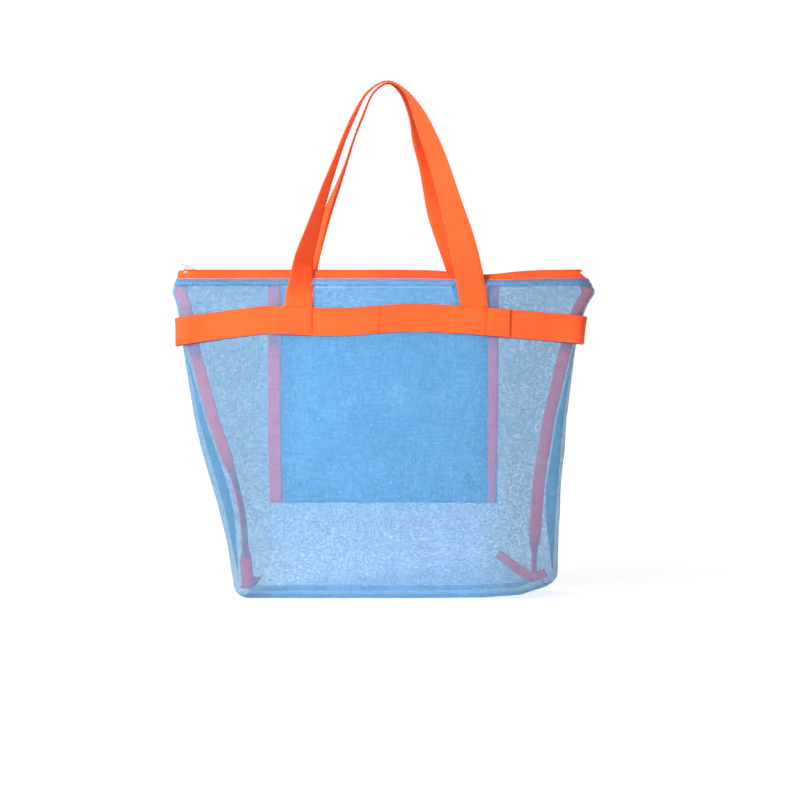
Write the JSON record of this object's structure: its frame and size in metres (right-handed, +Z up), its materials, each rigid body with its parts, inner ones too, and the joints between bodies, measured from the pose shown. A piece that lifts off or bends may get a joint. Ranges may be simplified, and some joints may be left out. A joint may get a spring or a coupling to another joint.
{
  "type": "beach bag",
  "caption": "Trapezoid see-through mesh beach tote with a zipped mouth, webbing waist band, two webbing handles and an inner hanging pocket.",
  "frame": {"origin": "centre of the base, on the surface it stands on", "axes": "+X towards the bag's right end seen from the front, -Y out of the front wall, +Z up"},
  "size_m": [0.454, 0.115, 0.5502],
  "materials": {
    "mesh": "open knitted polyester mesh",
    "webbing": "ribbed polyester webbing",
    "binding": "folded binding tape",
    "zip_tape": "woven zipper tape",
    "zip_coil": "nylon coil",
    "zip_metal": "nickel plated"
  },
  "bodies": {
    "bag_base": {"base_panel": "mesh", "side_panel_left": "mesh", "side_panel_right": "mesh", "seam_binding_left": "binding", "seam_binding_right": "binding", "corner_binding_left": "binding", "corner_binding_right": "binding", "waist_band_left": "webbing", "waist_band_right": "webbing", "zip_tape_left_end": "zip_tape", "zip_tape_right_end": "zip_tape", "zip_chain_left_end": "zip_coil", "zip_chain_right_end": "zip_coil"},
    "front_wall": {"front_panel": "mesh", "waist_band_front": "webbing", "waist_band_lap": "webbing", "zip_tape_front": "zip_tape", "zip_coil_front": "zip_coil", "handle_end_front_left": "webbing", "handle_end_front_right": "webbing"},
    "back_wall": {"back_panel": "mesh", "waist_band_back": "webbing", "zip_tape_back": "zip_tape", "zip_coil_back": "zip_coil", "handle_end_back_left": "webbing", "handle_end_back_right": "webbing"},
    "pocket": {"pocket_sheet": "mesh", "pocket_binding_left": "binding", "pocket_binding_right": "binding"},
    "front_handle": {"front_handle": "webbing"},
    "back_handle": {"back_handle": "webbing"},
    "zip_slider": {"slider_body": "zip_metal"},
    "zip_puller": {"pull_tab": "zip_metal"}
  },
  "joints": [
    {"name": "mouth_front_open", "type": "hinge", "parent": "bag_base", "child": "front_wall", "pos_m": [0, -0.0575, 0], "axis": [1, 0, 0], "range_deg": [0, 6]},
    {"name": "mouth_back_open", "type": "hinge", "parent": "bag_base", "child": "back_wall", "pos_m": [0, 0.0575, 0], "axis": [-1, 0, 0], "range_deg": [0, 6]},
    {"name": "pocket_swing", "type": "hinge", "parent": "back_wall", "child": "pocket", "pos_m": [0, 0.0035, 0.328], "axis": [1, 0, 0], "range_deg": [-5, 5]},
    {"name": "front_handle_fold", "type": "hinge", "parent": "front_wall", "child": "front_handle", "pos_m": [0, -0.01545, 0.3093], "axis": [1, 0, 0], "range_deg": [0, 160]},
    {"name": "back_handle_fold", "type": "hinge", "parent": "back_wall", "child": "back_handle", "pos_m": [0, 0.01545, 0.3093], "axis": [-1, 0, 0], "range_deg": [0, 160]},
    {"name": "zipper_slide", "type": "slide", "parent": "bag_base", "child": "zip_slider", "axis": [1, 0, 0], "range_m": [0, 0.427]},
    {"name": "puller_swing", "type": "hinge", "parent": "zip_slider", "child": "zip_puller", "pos_m": [-0.2135, 0, 0.3504], "axis": [0, 1, 0], "range_deg": [0, 136]}
  ],
  "couplings": [
    {"joint": "mouth_back_open", "follows": "mouth_front_open", "ratio": 1}
  ]
}
